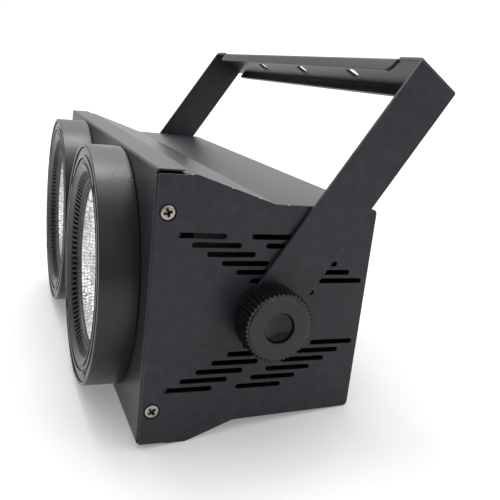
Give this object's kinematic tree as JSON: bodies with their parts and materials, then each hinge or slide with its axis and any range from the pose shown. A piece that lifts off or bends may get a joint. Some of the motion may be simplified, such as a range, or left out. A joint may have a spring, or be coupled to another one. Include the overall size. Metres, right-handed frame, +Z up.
{
  "type": "led stage blinder lamp",
  "caption": "Floor-standing or hung stage blinder: folded steel housing with round LED eyes in front, finned heat sinks inside and a tilting yoke clamped by hand knobs.",
  "frame": {"origin": "middle of the lamp's bounding box in plan, on the floor that it stands on", "axes": "+X towards the right eye as the audience sees it, -Y towards the audience, +Z up"},
  "size_m": [0.4302, 0.2348, 0.2228],
  "materials": {
    "charcoal_paint": "satin charcoal powder coat with a very fine texture",
    "textured_bezel": "semi-gloss, fine spark-eroded texture",
    "black_plastic": "matt moulded",
    "knob_plastic": "matt moulded, straight knurled grip",
    "nickel_screws": "nickel plated",
    "zinc_steel": "bright zinc",
    "bright_reflector": "bright peened reflector",
    "raw_aluminium": "as extruded",
    "clear_glass": "clear toughened",
    "smoked_window": "dark smoked window",
    "phosphor": "yellow phosphor over a ceramic board",
    "white_nylon": "moulded",
    "circuit_board": "solder mask",
    "blue_plastic": "moulded",
    "grey_plastic": "moulded"
  },
  "bodies": {
    "housing": {"front_panel": "charcoal_paint", "rear_cover": "charcoal_paint", "side_plate_right": "charcoal_paint", "side_plate_left": "charcoal_paint", "side_screw_right_upper": "nickel_screws", "side_screw_right_lower": "nickel_screws", "side_screw_left_upper": "nickel_screws", "side_screw_left_lower": "nickel_screws", "bezel_right": "textured_bezel", "front_ring_right": "black_plastic", "baffle_ring_right": "black_plastic", "glass_right": "clear_glass", "reflector_right": "bright_reflector", "cob_led_right": "phosphor", "cob_holder_right": "white_nylon", "heat_sink_right": "raw_aluminium", "fan_frame_right": "black_plastic", "pivot_washer_right": "black_plastic", "pivot_nut_right": "zinc_steel", "bezel_left": "textured_bezel", "front_ring_left": "black_plastic", "baffle_ring_left": "black_plastic", "glass_left": "clear_glass", "reflector_left": "bright_reflector", "cob_led_left": "phosphor", "cob_holder_left": "white_nylon", "heat_sink_left": "raw_aluminium", "fan_frame_left": "black_plastic", "pivot_washer_left": "black_plastic", "pivot_nut_left": "zinc_steel", "chassis_plate": "zinc_steel", "power_supply": "raw_aluminium", "driver_board": "circuit_board", "control_panel": "black_plastic", "display_window": "smoked_window", "power_in": "blue_plastic", "power_out": "grey_plastic", "dmx_in": "black_plastic", "dmx_out": "black_plastic", "fuse_holder": "black_plastic", "safety_eyelet": "zinc_steel"},
    "yoke": {"yoke": "charcoal_paint"},
    "knob_right": {"tilt_knob_right": "knob_plastic"},
    "knob_left": {"tilt_knob_left": "knob_plastic"},
    "fan_right": {"fan_rotor_right": "black_plastic"},
    "fan_left": {"fan_rotor_left": "black_plastic"},
    "button_1": {"menu_button_1": "grey_plastic"},
    "button_2": {"menu_button_2": "grey_plastic"},
    "button_3": {"menu_button_3": "grey_plastic"},
    "button_4": {"menu_button_4": "grey_plastic"},
    "latch": {"dmx_out_latch": "zinc_steel"},
    "fuse_cap": {"fuse_cap": "black_plastic"}
  },
  "joints": [
    {"name": "yoke_tilt", "type": "hinge", "parent": "housing", "child": "yoke", "pos_m": [0, -0.01061, 0.07584], "axis": [1, 0, 0], "range_deg": [-70, 150]},
    {"name": "knob_right_turn", "type": "hinge", "parent": "housing", "child": "knob_right", "pos_m": [0.2, -0.01061, 0.07584], "axis": [1, 0, 0], "range_deg": [0, 360]},
    {"name": "knob_left_turn", "type": "hinge", "parent": "housing", "child": "knob_left", "pos_m": [-0.2, -0.01061, 0.07584], "axis": [-1, 0, 0], "range_deg": [0, 360]},
    {"name": "fan_right_spin", "type": "hinge", "parent": "housing", "child": "fan_right", "pos_m": [0.0869, 0.01118, 0.0728], "axis": [0, 0.9904, -0.1385], "continuous": true},
    {"name": "fan_left_spin", "type": "hinge", "parent": "housing", "child": "fan_left", "pos_m": [-0.0869, 0.01118, 0.0728], "axis": [0, 0.9904, -0.1385], "continuous": true},
    {"name": "button_1_press", "type": "slide", "parent": "housing", "child": "button_1", "axis": [0, -0.9904, 0.1385], "range_m": [0, 0.001], "stiffness_N_per_m": 400},
    {"name": "button_2_press", "type": "slide", "parent": "housing", "child": "button_2", "axis": [0, -0.9904, 0.1385], "range_m": [0, 0.001], "stiffness_N_per_m": 400},
    {"name": "button_3_press", "type": "slide", "parent": "housing", "child": "button_3", "axis": [0, -0.9904, 0.1385], "range_m": [0, 0.001], "stiffness_N_per_m": 400},
    {"name": "button_4_press", "type": "slide", "parent": "housing", "child": "button_4", "axis": [0, -0.9904, 0.1385], "range_m": [0, 0.001], "stiffness_N_per_m": 400},
    {"name": "latch_press", "type": "slide", "parent": "housing", "child": "latch", "axis": [0, -0.9904, 0.1385], "range_m": [0, 0.001], "stiffness_N_per_m": 400},
    {"name": "fuse_cap_turn", "type": "hinge", "parent": "housing", "child": "fuse_cap", "pos_m": [-0.076, 0.05725, 0.03404], "axis": [0, 0.9904, -0.1385], "range_deg": [0, 90]}
  ]
}
